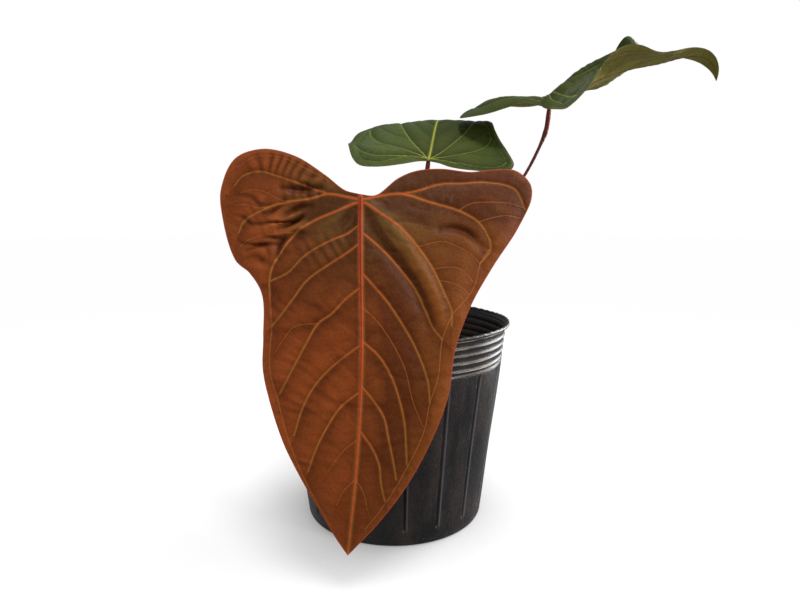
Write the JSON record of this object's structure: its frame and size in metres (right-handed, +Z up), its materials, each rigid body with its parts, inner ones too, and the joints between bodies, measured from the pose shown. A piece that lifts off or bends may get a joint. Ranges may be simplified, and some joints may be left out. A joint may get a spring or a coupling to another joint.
{
  "type": "potted anthurium",
  "caption": "Potted anthurium with large heart-shaped leaves on thin petioles, in a thin ridged nursery pot of bark mix.",
  "frame": {"origin": "centre of the pot's flat underside", "axes": "+Z up the pot's axis, -Y towards the front leaf's upper side, +X towards the right leaf"},
  "size_m": [0.3334, 0.2596, 0.347],
  "materials": {
    "pot_plastic": "blow-moulded black polyethylene, satin, dusty",
    "bark_mix": "damp crumbled bark and pumice",
    "bark": "split dry bark",
    "stem_skin": "ringed, corky",
    "root_skin": "velvety pale root skin",
    "bract_paper": "dry, papery, veined",
    "petiole_skin": "smooth dark red stalk skin",
    "leaf_bronze": "satin bronze-red young leaf with orange veins",
    "leaf_green": "satin dark green leaf with yellow-green veins"
  },
  "bodies": {
    "root": {"nursery_pot": "pot_plastic", "potting_mix": "bark_mix", "stem": "stem_skin", "petiole_front": "petiole_skin", "blade_front": "leaf_bronze", "petiole_back": "petiole_skin", "blade_back": "leaf_green", "petiole_right": "petiole_skin", "blade_right": "leaf_green", "bract_1": "bract_paper", "bract_2": "bract_paper", "bract_3": "bract_paper", "root_1": "root_skin", "root_2": "root_skin", "root_3": "root_skin", "root_4": "root_skin", "root_5": "root_skin", "bark_chip_1": "bark", "bark_chip_2": "bark", "bark_chip_3": "bark", "bark_chip_4": "bark", "bark_chip_5": "bark", "bark_chip_6": "bark", "bark_chip_7": "bark", "bark_chip_8": "bark"}
  },
  "joints": []
}
